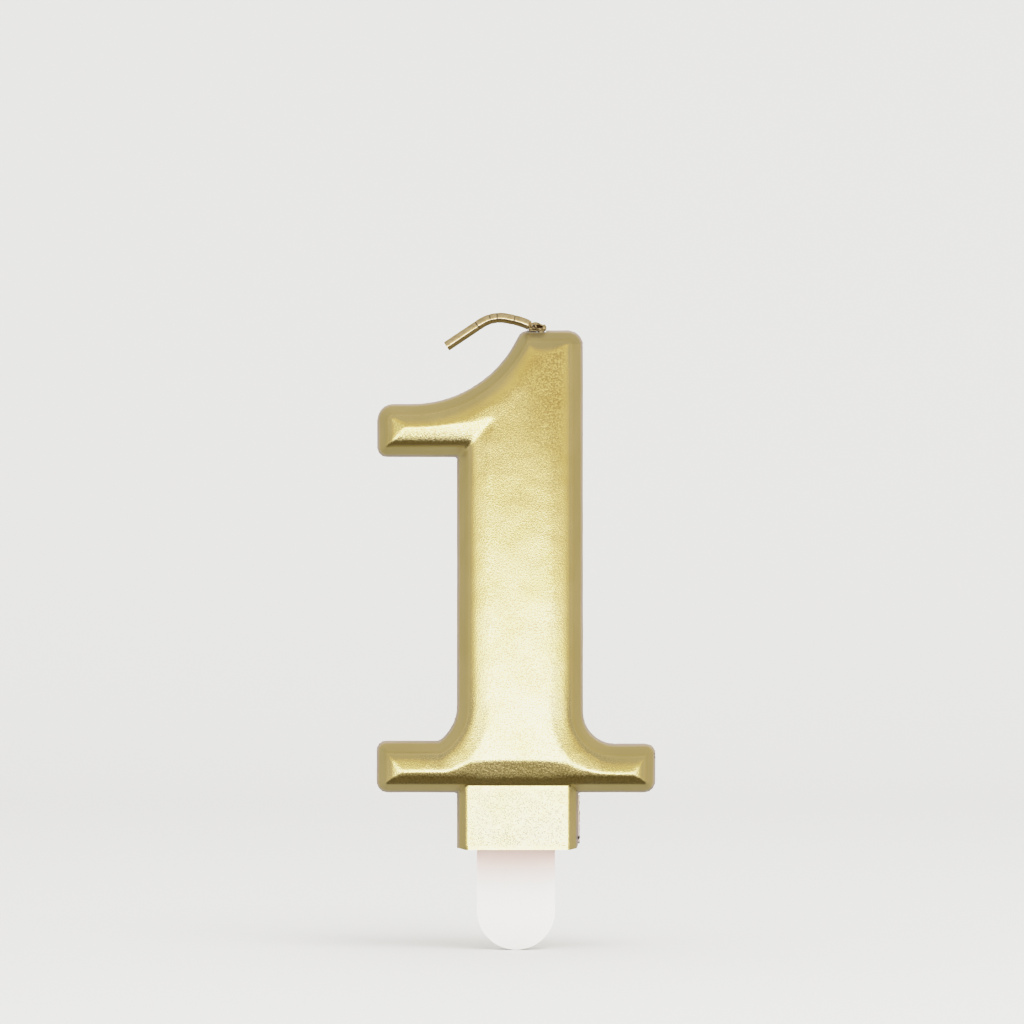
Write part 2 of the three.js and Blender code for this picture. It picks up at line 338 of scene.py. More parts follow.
studio = {
    "boxDistance": 0.30,
    "boxShift": 0.004,
    "boxLean": 0.09,
    "boxWidth": 0.90,
    "boxTop": 0.10,
    "boxBottom": -0.064,
    "bright": (2.7, 2.7, 2.8, 1),
    "amber": (0.74, 0.612, 0.338, 1),
    "fadeAcross": (0.040, 0.194),
    "fadeUp": (-0.004, 0.076),
    "fadeDown": (0.029, 0.047),
    "amberSide": (0.12, 0.27),
    # the top panel
    "topPlace": (0.25, -0.35, 0.75),
    "topAim": (0, 0, 0.03),
    "topSize": 0.5,
    "topPower": 3.0,
    # the room as the gold mirrors it, by direction: x to the right, y to the back, z up
    "ahead": (0.50, 0.446, 0.315, 1),
    "left": (0.434, 0.377, 0.230, 1),
    "right": (0.470, 0.403, 0.240, 1),
    "low": (0.385, 0.335, 0.21, 1),
    "dusk": (0.66, 0.583, 0.39, 1),
    "gloom": (0.145, 0.112, 0.05, 1),
    "leftToRight": (-0.6, 0.6),
    "wallsToAhead": (-0.2, 0.6),
    "wallsToLow": (0.2, 0.7),
    "amberTurn": (0.40, 0.90),
    "amberSky": (0.24, 0.46),
    "amberAhead": (0.0, 0.1),
    "tableEdge": (0.10, 0.18),
    "tableDepth": (0.21, 0.55),
    "tableAhead": (-0.55, -0.20),
    "ambient": (1.60, 1.585, 1.575, 1),
}


def makeSoftbox():
    pickNothing()
    middle = (studio["boxTop"] + studio["boxBottom"]) / 2
    height = studio["boxTop"] - studio["boxBottom"]
    place = (studio["boxShift"], -studio["boxDistance"], middle)
    bpy.ops.mesh.primitive_plane_add(size=1, location=place, rotation=(math.radians(-90), 0, 0))
    softbox = bpy.context.object
    softbox.name = "softbox"
    softbox.scale = (studio["boxWidth"], height, 1)
    settle(softbox)
    recipe = Recipe(bpy.data.materials.new("softbox cloth"))
    across, along, up = recipe.axes(recipe.place())
    aside = abs(across - studio["boxShift"])
    warm = 1 - aside.step(*studio["amberSide"])
    leant = up + across * studio["boxLean"]
    lit = (1 - aside.step(*studio["fadeAcross"])) * (1 - leant.step(*studio["fadeUp"]))
    cloth = recipe.mix(lit, recipe.mix(warm, studio["ahead"], studio["amber"]), studio["bright"])
    cloth = recipe.mix((0 - up).step(*studio["fadeDown"]), cloth, studio["dusk"])
    glow = recipe.add("ShaderNodeEmission", {}, {"Color": cloth})
    softbox.data.materials.append(recipe.finish(glow))
    softbox.visible_camera = False
    softbox.visible_diffuse = False
    softbox.visible_shadow = False


def makeTopPanel():
    bpy.ops.object.light_add(type="AREA", location=studio["topPlace"])
    top = bpy.context.object
    top.name = "top panel"
    top.rotation_euler = (Vector(studio["topAim"]) - top.location).to_track_quat("-Z", "Y").to_euler()
    top.data.size = studio["topSize"]
    top.data.energy = studio["topPower"]
    top.visible_camera = False
    top.visible_glossy = False


# what the gold mirrors: walls, an amber middle ahead, and a table that darkens downwards
def makeRoom():
    world = bpy.data.worlds.new("studio")
    scene.world = world
    recipe = Recipe(world)
    across, along, up = recipe.axes(recipe.add("ShaderNodeTexCoord"))
    down = 0 - up
    ahead = 0 - along
    walls = recipe.mix(across.step(*studio["leftToRight"]), studio["left"], studio["right"])
    seen = recipe.mix(ahead.step(*studio["wallsToAhead"]), walls, studio["ahead"])
    warm = (1 - abs(across / ahead).step(*studio["amberTurn"])) * (1 - up.step(*studio["amberSky"]))
    seen = recipe.mix(warm * ahead.step(*studio["amberAhead"]), seen, studio["amber"])
    seen = recipe.mix(down.step(*studio["wallsToLow"]), seen, studio["low"])
    table = recipe.mix(down.step(*studio["tableDepth"]), studio["dusk"], studio["gloom"])
    onTable = down.step(*studio["tableEdge"]) * ahead.step(*studio["tableAhead"])
    seen = recipe.mix(onTable, seen, table)
    mirrored = recipe.add("ShaderNodeLightPath").other("Is Glossy Ray")
    colour = recipe.mix(mirrored, studio["ambient"], seen)
    light = recipe.add("ShaderNodeBackground", {}, {"Color": colour, "Strength": 1.0})
    recipe.add("ShaderNodeOutputWorld", {}, {"Surface": light})


# Tone: a film-like shoulder, so that bright gold pales before it clips

toneCurve = [(0.0, 0.0), (0.35, 0.35), (0.7, 0.62), (1.2, 0.82), (2.0, 0.925), (3.0, 0.97), (4.0, 1.0)]


def setTone():
    settings = scene.view_settings
    settings.view_transform = "Standard"
    settings.look = "None"
    settings.use_curve_mapping = True
    mapping = settings.curve_mapping
    brightest = toneCurve[-1][0]
    mapping.white_level = (brightest, brightest, brightest)
    curve = mapping.curves[3]
    for scenePoint, shown in toneCurve[1:-1]:
        curve.points.new(scenePoint / brightest, shown)
    mapping.update()


# Lacquer on the wax: gold, with a fine grain of dark and pale specks on its flat faces

lacquer = {
    "plainGold": srgb(243, 230, 174),
    "brightGold": srgb(250, 238, 190),
    "mottleScale": 160,
    "mottleLevels": (0.3, 0.7),
    "faceRoughness": 0.12,
    "wallRoughness": 0.32,
    # grain: coarser at the top right and under the foot, and it dies away over the bevels
    "grainSize": 0.00018,
    "coarseSize": 0.00027,
    "grainRoughness": 0.6,
    "grainDepth": 0.000020,
    "coarseSide": (-0.001, 0.006),
    "coarseHeight": (0.045, 0.068),
    "faceTilt": (0.80, 0.94),
    # dark and pale specks
    "plinthSpeck": (0.41, 0.455, 0.61, 1),
    "lowSpeck": (0.56, 0.565, 0.62, 1),
    "highSpeck": (0.67, 0.64, 0.55, 1),
    "paleSpeck": srgb(252, 246, 214),
    "lowSpeckFrom": (0.0097, 0.0101),
    "highSpeckFrom": (0.018, 0.045),
    "darkLevels": (0.36, 0.62),
    "darkShare": 0.85,
    "darkCoarse": 0.45,
    "paleLevels": (0.56, 0.72),
    "paleShare": 0.33,
    # painted shade: bevels that look down get more of the grain's dark specks
    "leanSlope": (0.06, 0.16),
    "leanBump": 0.4,
    "steepSlope": (0.14, 0.19),
    "footTop": (0.03, 0.04),
    "underTilt": (0.55, 0.72),
    "underShadeShare": 0.75,
    # painted shade: the hollow turns from stem to foot get the grain's dark specks
    "turnTilt": (0.82, 0.94),
    "turnBottom": (0.0100, 0.0110),
    "turnTop": (0.020, 0.028),
    "turnEnd": (0.0115, 0.0165),
    "turnEndLoss": 0.8,
    "turnShadeShare": 0.6,
    # painted shade: the top bevel's up-facing slopes, on its right side, darker
    "topShadeGold": srgb(208, 194, 150),
    "topHeight": (0.0700, 0.0716),
    "topSlope": (0.07, 0.15),
    "topSide": (-0.001, 0.004),
    "topShare": 0.33,
    # painted reflection: the steep walls along the seam turn pale grey, less metallic and rougher, as if
    # mirroring a pale table
    "seamReflection": srgb(196, 184, 185),
    "seamReflectionReach": (0.0004, 0.0017),
    "seamReflectionShare": 0.55,
    "seamReflectionMottle": 0.6,
    "seamReflectionMetal": 0.45,
    "seamReflectionRoughness": 0.1,
    # chipped off: place and radius in millimetres
    "chip": srgb(52, 36, 22),
    "chips": (
        (20.30, -0.50, 13.9, 0.22), (20.42, -0.15, 13.4, 0.17), (20.45, 0.10, 12.9, 0.15),
        (9.25, -0.05, 1.5, 0.26), (9.30, 0.00, 0.8, 0.16),
    ),
    "chipMiddle": 0.7,
    "chipWaver": 0.0003,
    "chipMetal": 0.5,
    "chipRoughness": 0.4,
}


def goldLacquer():
    recipe = Recipe(bpy.data.materials.new("gold lacquer"))
    place = recipe.place()
    across, along, up = recipe.axes(place)
    facing, upwards = recipe.axes(recipe.normal())[1:]
    tilt = abs(facing)
    downwards = 0 - upwards
    front = tilt.step(*lacquer["faceTilt"])
    foot = 1 - up.step(*lacquer["footTop"])
    # painted shade: masks of the bevels that look down, which darken with more dark specks
    leaning = downwards.step(*lacquer["leanSlope"]) * front
    steep = downwards.step(*lacquer["steepSlope"]) * front
    under = downwards.step(*lacquer["leanSlope"]) * tilt.step(*lacquer["underTilt"]) * foot
    # painted shade in the hollow turns from stem to foot
    turnShade = tilt.step(*lacquer["turnTilt"]) * (1 - up.step(*lacquer["turnTop"]))
    turnShade = turnShade * up.step(*lacquer["turnBottom"]) * lacquer["turnShadeShare"]
    turnShade = turnShade * (1 - abs(across).step(*lacquer["turnEnd"]) * lacquer["turnEndLoss"])

    # grain, and how strongly it shows; on bevels that look down and in the hollow turns its dark specks are
    # painted shade
    coarse = across.step(*lacquer["coarseSide"]) * up.step(*lacquer["coarseHeight"])
    fineGrain = recipe.noise(place, 1 / lacquer["grainSize"], 2.0, lacquer["grainRoughness"])
    coarseGrain = recipe.noise(place, 1 / lacquer["coarseSize"], 2.0, lacquer["grainRoughness"])
    grain = fineGrain + (coarseGrain - fineGrain) * (coarse + under).sum("MINIMUM", 1)
    shown = recipe.attribute("grain").sum("MAXIMUM", turnShade)
    # painted shade: more dark specks under the foot and on the steep down-facing bevels above it
    shown = shown + under * lacquer["underShadeShare"] + steep * (1 - foot)

    # colour
    mottle = recipe.noise(place, lacquer["mottleScale"], 3.0)
    tone = recipe.mix(mottle.step(*lacquer["mottleLevels"]), lacquer["plainGold"], lacquer["brightGold"])
    speck = recipe.mix(up.step(*lacquer["lowSpeckFrom"]), lacquer["plinthSpeck"], lacquer["lowSpeck"])
    speck = recipe.mix(up.step(*lacquer["highSpeckFrom"]), speck, lacquer["highSpeck"])
    # painted shade: on bevels that look down the specks take the high tint
    speck = recipe.mix(leaning, speck, lacquer["highSpeck"])
    dark = (1 - grain.step(*lacquer["darkLevels"])) * shown
    dark = dark * (coarse * lacquer["darkCoarse"] + lacquer["darkShare"])
    tone = recipe.mix(dark, tone, recipe.shade(tone, speck))
    pale = grain.step(*lacquer["paleLevels"]) * shown * lacquer["paleShare"]
    tone = recipe.mix(pale, tone, lacquer["paleSpeck"])
    # painted shade on the top bevel's right side
    topShade = up.step(*lacquer["topHeight"]) * upwards.step(*lacquer["topSlope"])
    topShade = topShade * across.step(*lacquer["topSide"]) * lacquer["topShare"]
    tone = recipe.mix(topShade, tone, lacquer["topShadeGold"])

    # painted reflection along the seam, and wear where the lacquer is chipped
    seamReflection = mottle * lacquer["seamReflectionMottle"] + lacquer["seamReflectionShare"]
    seamReflection = (1 - abs(along).step(*lacquer["seamReflectionReach"])) * seamReflection
    tone = recipe.mix(seamReflection, tone, lacquer["seamReflection"])
    chipped = 0
    for x, y, z, size in lacquer["chips"]:
        middle = (x * millimetre, y * millimetre, z * millimetre)
        away = recipe.add("ShaderNodeVectorMath", {"operation": "DISTANCE"}, {0: place, 1: middle}, 1)
        away = away + (grain - 0.5) * lacquer["chipWaver"]
        radius = size * millimetre
        chipped = (1 - away.step(radius * lacquer["chipMiddle"], radius)) + chipped
    tone = recipe.mix(chipped, tone, lacquer["chip"])

    height = (grain - 0.5) * front.sum("MAXIMUM", under) * (leaning * lacquer["leanBump"] + 1)
    roughness = lacquer["wallRoughness"] - front * (lacquer["wallRoughness"] - lacquer["faceRoughness"])
    roughness = roughness + seamReflection * lacquer["seamReflectionRoughness"] + chipped * lacquer["chipRoughness"]
    shader = recipe.add("ShaderNodeBsdfPrincipled", {}, {
        "Base Color": tone,
        "Metallic": 1 - seamReflection * lacquer["seamReflectionMetal"] - chipped * lacquer["chipMetal"],
        "Roughness": roughness,
        "Normal": recipe.bump(1.0, lacquer["grainDepth"], height),
    })
    return recipe.finish(shader)


# Flash: the thin fin of wax that seeped between the mould halves, left on the plinth's right side

flashFin = {
    "side": 0.0089,
    "reach": 0.00055,
    "sunk": 0.0001,
    "bottom": 0.0007,
    "top": 0.0078,
    "thickness": 0.00016,
    "edge": 0.00003,
    "cuts": 40,
    "waver": 0.00022,
    "waveScale": 900,
    "rippleScale": 2600,
    "rippleShare": 0.5,
    "rimShare": 0.5,
}


def makeFlash():
    pickNothing()
    height = flashFin["top"] - flashFin["bottom"]
    place = (flashFin["side"] + flashFin["reach"] / 2 - flashFin["sunk"], 0, flashFin["bottom"] + height / 2)
    bpy.ops.mesh.primitive_cube_add(size=1, location=place)
    fin = bpy.context.object
    fin.name = "flash fin"
    fin.scale = (flashFin["reach"], flashFin["thickness"], height)
    settle(fin)
    cuts = flashFin["cuts"]
    cutAcross(fin, [flashFin["bottom"] + height * number / cuts for number in range(1, cuts)])
    closeMesh()
    outer = flashFin["side"] + flashFin["reach"] / 2
    for vertex in fin.data.vertices:
        if vertex.co.x > outer:
            wave = noise.noise(Vector((0, 0, vertex.co.z * flashFin["waveScale"])))
            ripple = noise.noise(Vector((3, 0, vertex.co.z * flashFin["rippleScale"])))
            vertex.co.x += flashFin["waver"] * (wave + flashFin["rippleShare"] * ripple)
            vertex.co.y *= flashFin["rimShare"]
    applyModifier(fin, "BEVEL", width=flashFin["edge"], segments=2)
    return fin


# Wax numeral: the moulded body again in fine even faces, with softer edges and a casting's slow waves

wax = {
    "faceSize": 0.00028,
    "weld": 0.000002,
    "smoothFactor": 0.5,
    "softening": 4,
    "seamHalf": 0.0006,
    "smoothAngle": 45,
    # the plinth stays crisp
    "plinthTop": 0.00942,
    "plinthHalf": 0.0090,
    "plinthDeep": 0.00475,
    "plinthRim": (0.0004, 0.0002),
    "plinthFit": 0.00005,
    "topRow": 0.00037,
    "bottomRow": 0.0003,
    # the foot's ridge
    "faceDepth": (0.0052, 0.0058),
    "ridgeLevel": 0.0119,
    "ridgeAbove": 0.0026,
    "ridgeBelow": 0.0018,
    "leftArm": (0.0046, 0.0097),
    "leftDrop": 0.00042,
    "rightArm": (0.0043, 0.0092),
    "rightDrop": 0.00055,
    "middleArm": (0.0030, 0.0065),
    "middleLift": 0.00016,
    # the valley under the flag
    "valleyEnd": (-0.0041, 0.0626),
    "valleyReach": 0.0032,
    "valleyShift": (0.00075, 0.0009),
    # bevels eased into the face: along the hollow curve and down both sides of the stem
    "easing": 45,
    "easedFacing": (0.90, 0.96),
    "sweepMiddle": (-0.0153, 0.0826),
    "sweepNear": (0.0184, 0.0194),
    "sweepFar": (0.0235, 0.0250),
    "sweepSide": (-0.0040, -0.0015),
    "sweepTop": (0.0720, 0.0735),
    "stemSides": (-0.0051, 0.0063),
    "sideReach": (0.0009, 0.0026),
    "leftTop": (0.0520, 0.0550),
    "rightTop": (0.0690, 0.0720),
    "sidesBottom": (0.0190, 0.0230),
    # slow waves, inwards so that the box holds them
    "waveSize": 0.006,
    "waveHeight": 0.00006,
    "waveLevel": 0.9,
}


def bell(share):
    return max(0.0, 1 - share ** 2) ** 2


# the foot's ridge runs a little low on both arms, and the valley under the flag runs on into the stem
def nudgeRidges(body):
    endX, endZ = wax["valleyEnd"]
    for vertex in body.data.vertices:
        x, z = vertex.co.x, vertex.co.z
        onFace = rise(abs(vertex.co.y), *wax["faceDepth"])
        drop = rise(-x, *wax["leftArm"]) * wax["leftDrop"] + rise(x, *wax["rightArm"]) * wax["rightDrop"]
        drop -= (1 - rise(abs(x), *wax["middleArm"])) * wax["middleLift"]
        reach = wax["ridgeAbove"] if z > wax["ridgeLevel"] else wax["ridgeBelow"]
        vertex.co.z -= drop * bell((z - wax["ridgeLevel"]) / reach) * onFace
        near = bell(math.hypot(x - endX, z - endZ) / wax["valleyReach"])
        vertex.co.x += wax["valleyShift"][0] * near * onFace
        vertex.co.z += wax["valleyShift"][1] * near * onFace


# how strongly a spot's bevel is eased into the face
def easingAt(place):
    x, z = place.x, place.z
    away = math.hypot(x - wax["sweepMiddle"][0], z - wax["sweepMiddle"][1])
    sweep = rise(away, *wax["sweepNear"]) * (1 - rise(away, *wax["sweepFar"]))
    sweep *= rise(x, *wax["sweepSide"]) * (1 - rise(z, *wax["sweepTop"]))
    left, right = wax["stemSides"]
    leftSide = (1 - rise(abs(x - left), *wax["sideReach"])) * (1 - rise(z, *wax["leftTop"]))
    rightSide = (1 - rise(abs(x - right), *wax["sideReach"])) * (1 - rise(z, *wax["rightTop"]))
    return max(sweep, max(leftSide, rightSide) * rise(z, *wax["sidesBottom"]))


# rows of faces that the remesh left just off the plinth's edges go onto them
def squarePlinth(body):
    for vertex in body.data.vertices:
        onPlinth = abs(vertex.co.x) < wax["plinthHalf"]
        onFace = onPlinth and abs(abs(vertex.co.y) - wax["plinthDeep"]) < wax["plinthFit"]
        if onFace and 0 < wax["plinthTop"] - vertex.co.z < wax["topRow"]:
            vertex.co.z = wax["plinthTop"]
        if onFace and vertex.co.z < wax["bottomRow"]:
            vertex.co.z = 0


# fills a vertex group by a rule, and leaves it active
def paintGroup(body, name, rule):
    group = body.vertex_groups.new(name=name)
    for vertex in body.data.vertices:
        group.add([vertex.index], rule(vertex), "REPLACE")
    body.vertex_groups.active_index = group.index
    return group


# where the lacquer's grain shows: full on the flat faces, and spread a little over the bevels round them
grainSpread = {
    "facing": (0.974, 0.990),
    "upwards": (0.05, 0.12),
    "factor": 0.5,
    "passes": 14,
}


def paintGrain(body):
    def flatness(vertex):
        flat = rise(abs(vertex.normal.y), *grainSpread["facing"])
        return flat * (1 - rise(vertex.normal.z, *grainSpread["upwards"]))

    group = paintGroup(body, "grained", flatness)
    openMesh(body, pickAll=True)
    bpy.ops.object.vertex_group_smooth(
        group_select_mode="ACTIVE", factor=grainSpread["factor"], repeat=grainSpread["passes"])
    closeMesh()
    levels = []
    for vertex in body.data.vertices:
        weights = [entry.weight for entry in vertex.groups if entry.group == group.index]
        levels.append(weights[0] if weights else 0.0)
    body.vertex_groups.clear()
    body.data.attributes.new("grain", "FLOAT", "POINT").data.foreach_set("value", levels)


def makeWax():
    mould = frame["nodes"]["numeral_body"]
    body = bpy.data.objects.new("wax_numeral", mould.data.copy())
    scene.collection.objects.link(body)
    openMesh(body, pickAll=True)
    bpy.ops.mesh.remove_doubles(threshold=wax["weld"])
    closeMesh()

    # even faces, drawn back onto the true surface
    applyModifier(body, "REMESH", mode="VOXEL", voxel_size=wax["faceSize"], use_smooth_shade=True)
    applyModifier(body, "SHRINKWRAP", target=mould, wrap_method="NEAREST_SURFACEPOINT")

    # the numeral's edges are softened, the plinth's and the seam stay crisp
    rimSide, rimTop = wax["plinthRim"]

    def onNumeral(vertex):
        offPlinth = vertex.co.z > wax["plinthTop"] + rimTop or abs(vertex.co.x) > wax["plinthHalf"] + rimSide
        return abs(vertex.co.y) > wax["seamHalf"] and offPlinth

    pickParts(body, "VERT", onNumeral)
    bpy.ops.object.vertex_group_add()
    bpy.ops.object.vertex_group_assign()
    closeMesh()
    soft = body.vertex_groups.active.name
    applyModifier(body, "SMOOTH", factor=wax["smoothFactor"], iterations=wax["softening"], vertex_group=soft)
    nudgeRidges(body)

    def easedShare(vertex):
        return easingAt(vertex.co) * rise(abs(vertex.normal.y), *wax["easedFacing"])

    eased = paintGroup(body, "eased", easedShare).name
    applyModifier(body, "SMOOTH", factor=wax["smoothFactor"], iterations=wax["easing"], vertex_group=eased)
    squarePlinth(body)
    waves = bpy.data.textures.new("casting waves", "CLOUDS")
    waves.noise_scale = wax["waveSize"]
    applyModifier(body, "DISPLACE", texture=waves, texture_coords="LOCAL",
                  strength=wax["waveHeight"], mid_level=wax["waveLevel"])
    paintGrain(body)

    joinInto(body, [makeFlash()])
    smoothPiece(body, wax["smoothAngle"])
    finishPiece(body, "candle", "gold_wax", goldLacquer(), "numeral_body")
    print("wax numeral:", len(body.data.polygons), "faces")


# Blade: a moulded plastic pick, drawn from a block, with a tongue that goes up into the wax

blade = {
    "edge": 0.00014,
    "edgeAngle": 25,
    "roundShare": 0.9999,
    "roundSegments": 28,
    "smoothAngle": 30,
    "tongueThickness": 0.0012,
    "tongueChamfer": 0.0015,
    "ribWidth": 0.0010,
    "ribSpread": 0.0060,
    "ribHeight": 0.0002,
    "ribStart": 0.0012,
    "nickTop": -0.0005,
    "nickBottom": -0.0029,
    "nickRim": 0.00012,
    "nickDepth": 0.00028,
    # finish
    "white": srgb(250, 248, 244),
    # painted shadow and warm reflection from the wax: pinker towards the top of the blade
    "waxShadowPink": srgb(252, 230, 225),
    "waxShadowReach": (-0.0068, -0.0004),
    "waxShadowShare": 0.8,
    "hazeScale": 220,
    "hazeShare": 0.4,
    "mattScale": 2600,
    "mattDepth": 0.000004,
    "mattStrength": 0.6,
    "roughness": 0.36,
    "hazeRoughness": 0.1,
}


def whitePlastic():
    recipe = Recipe(bpy.data.materials.new("white plastic"))
    place = recipe.place()
    up = recipe.axes(place)[2]
    haze = recipe.noise(place, blade["hazeScale"], 3.0)
    matt = recipe.noise(place, blade["mattScale"], 2.0)
    # painted shadow and warm reflection from the wax near the top
    pink = up.step(*blade["waxShadowReach"]) * (haze * blade["hazeShare"] + blade["waxShadowShare"])
    shader = recipe.add("ShaderNodeBsdfPrincipled", {}, {
        "Base Color": recipe.mix(pink, blade["white"], blade["waxShadowPink"]),
        "Roughness": haze * blade["hazeRoughness"] + blade["roughness"],
        "Normal": recipe.bump(blade["mattStrength"], blade["mattDepth"], matt),
    })
    return recipe.finish(shader)


# grip ribs through the tongue, proud of both its faces
def makeRibs(top):
    ribLength = top - blade["tongueChamfer"] - 2 * blade["ribStart"]
    ribs = []
    for side in (-1, 1):
        pickNothing()
        place = (side * blade["ribSpread"] / 2, 0, blade["ribStart"] + ribLength / 2)
        bpy.ops.mesh.primitive_cylinder_add(vertices=4, radius=0.5, depth=1, location=place)
        rib = bpy.context.object
        rib.scale = (blade["ribWidth"], blade["tongueThickness"] + 2 * blade["ribHeight"], ribLength)
        settle(rib)
        applyModifier(rib, "BEVEL", width=blade["edge"] / 3, segments=2)
        ribs.append(rib)
    return ribs


def makeBlade():
    low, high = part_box("cake_holder")
    halfWidth = high.x
    thickness = high.y - low.y
    pickNothing()
    bpy.ops.mesh.primitive_cube_add(size=1, location=(0, 0, low.z / 2))
    piece = bpy.context.object
    piece.name = "plastic_blade"
    piece.scale = (2 * halfWidth, thickness, -low.z)
    settle(piece)

    def atFoot(edge):
        ends = [piece.data.vertices[i].co for i in edge.vertices]
        return all(end.z < low.z + millimetre for end in ends) and abs(ends[0].x - ends[1].x) < halfWidth

    pickParts(piece, "EDGE", atFoot)
    bpy.ops.mesh.bevel(offset=halfWidth * blade["roundShare"], segments=blade["roundSegments"], profile=0.5)
    closeMesh()

    # the nick that the moulding gate left on the right edge
    cutAcross(piece, (blade["nickTop"], blade["nickBottom"]))
    closeMesh()

    def atNick(face):
        return face.normal.x > squarely and blade["nickBottom"] < face.center.z < blade["nickTop"]

    pickParts(piece, "FACE", atNick)
    bpy.ops.mesh.inset(thickness=blade["nickRim"], depth=-blade["nickDepth"])
    closeMesh()

    # the tongue: thinner, with a chamfered lead
    pickParts(piece, "FACE", lambda face: face.normal.z > squarely and face.center.z > -millimetre / 10)
    thinning = blade["tongueThickness"] / thickness
    bpy.ops.mesh.extrude_region_move()
    bpy.ops.transform.resize(value=(1, thinning, 1), center_override=(0, 0, 0))
    straight = high.z - blade["tongueChamfer"]
    bpy.ops.mesh.extrude_region_move(TRANSFORM_OT_translate={"value": (0, 0, straight)})
    bpy.ops.mesh.extrude_region_move(TRANSFORM_OT_translate={"value": (0, 0, blade["tongueChamfer"])})
    narrowing = (halfWidth - blade["tongueChamfer"]) / halfWidth
    bpy.ops.transform.resize(value=(narrowing, 1, 1), center_override=(0, 0, high.z))
    closeMesh()
    applyModifier(piece, "BEVEL", width=blade["edge"], segments=3,
                  limit_method="ANGLE", angle_limit=math.radians(blade["edgeAngle"]))
    joinInto(piece, makeRibs(high.z))
    smoothPiece(piece, blade["smoothAngle"])
    finishPiece(piece, "holder", "white_plastic", whitePlastic(), "cake_holder")
    print("blade:", len(piece.data.polygons), "faces")


# Wick: round, in a gold coat that is cracked where it was bent and crumpled at the root

wick = {
    "x": 0.00368,
    "coat": 0.00142,
    "core": 0.0010,
    "seat": 0.00001,
    "foot": 0.018,
    "sides": 20,
    "step": 0.00015,
    "leastChange": 0.001,
    "smoothAngle": 40,
    # the walk of its middle line
    "rootBend": 0.000825,
    "rootTurn": 78,
    "middleStretch": 0.00437,
    "kneeBend": 0.0052,
    "kneeTurn": 45.8,
    "tipStretch": 0.0060,
    "sag": 0.00030,
    "sagStart": 0.0012,
    "sagTo": 0.0022,
    "sagFrom": 0.0046,
    # cut end: rim and hollow as shares of the coat, and how much of it is bare
    "tipRim": 0.12,
    "tipHollow": 0.05,
    "tipDepth": 0.06,
    "tipBare": 0.40,
    # cracks: places along the walk
    "cracks": (0.00448, 0.00702, 0.00806, 0.01019),
    "crackWidth": 0.00010,
    "crackDepth": 0.07,
    "crackGap": (0.00002, 0.00009),
    "crackWaver": 0.0002,
    "crackBroken": (0.36, 0.50),
    # the lump: folds as place, half sizes and tilt, in millimetres and degrees, over the wax's top
    "crushed": 0.5,
    "crushedTo": 0.00226,
    "lumpEndShare": 0.8,
    "folds": (
        (3.10, 0.10, 0.52, 1.18, 0.52, 0.58, 10),
        (4.10, -0.10, 0.42, 0.36, 0.56, 0.48, 5),
        (2.04, -0.10, 0.80, 0.20, 0.60, 0.68, 10),
        (2.41, -0.48, 0.85, 0.15, 0.30, 0.44, 35),
        (2.84, -0.48, 0.78, 0.17, 0.32, 0.46, -24),
        (3.50, -0.54, 0.24, 0.30, 0.28, 0.22, 30),
        (3.70, -0.38, 0.84, 0.56, 0.34, 0.16, 24),
        (2.56, -0.50, 0.04, 0.62, 0.26, 0.15, 0),
        (3.74, -0.46, 0.05, 0.62, 0.30, 0.16, -4),
        (2.05, -0.45, 0.34, 0.18, 0.24, 0.20, 0),
        (2.20, -0.10, 0.28, 0.34, 0.50, 0.36, 0),
        (2.80, 0.46, 0.60, 0.70, 0.32, 0.24, -35),
        (3.60, 0.44, 0.50, 0.62, 0.32, 0.30, 20),
        (3.20, 0.46, 0.08, 1.00, 0.26, 0.18, 0),
    ),
    "foldDrop": 0.10,
    "foldFullness": 1.16,
    "foldSize": 0.00028,
    "foldDepth": 0.00012,
    "lumpMiddle": (3.2, 0.0, 0.62),
    "lumpReach": (1.36, 0.84, 0.82),
    # painted shade in the lump's hollows: it starts at this share of the lump's reach and deepens at this
    # rate
    "hollowShadeFrom": 0.86,
    "hollowShadeRate": 5,
    # finish
    "gold": srgb(232, 216, 184),
    "paleGold": srgb(250, 236, 212),
    "paleLevels": (0.35, 0.65),
    "crack": srgb(70, 50, 30),
    # painted shade: the coat darker where it faces down
    "under": srgb(146, 128, 80),
    "underSlope": (0.10, 0.60),
    "underShadeShare": 0.85,
    "cotton": srgb(214, 200, 178),
    "grainScale": 3000,
    "brokenScale": 1500,
    "grainDepth": 0.000013,
    "roughness": 0.17,
    "bareRoughness": 0.5,
    "grainRoughness": 0.1,
}


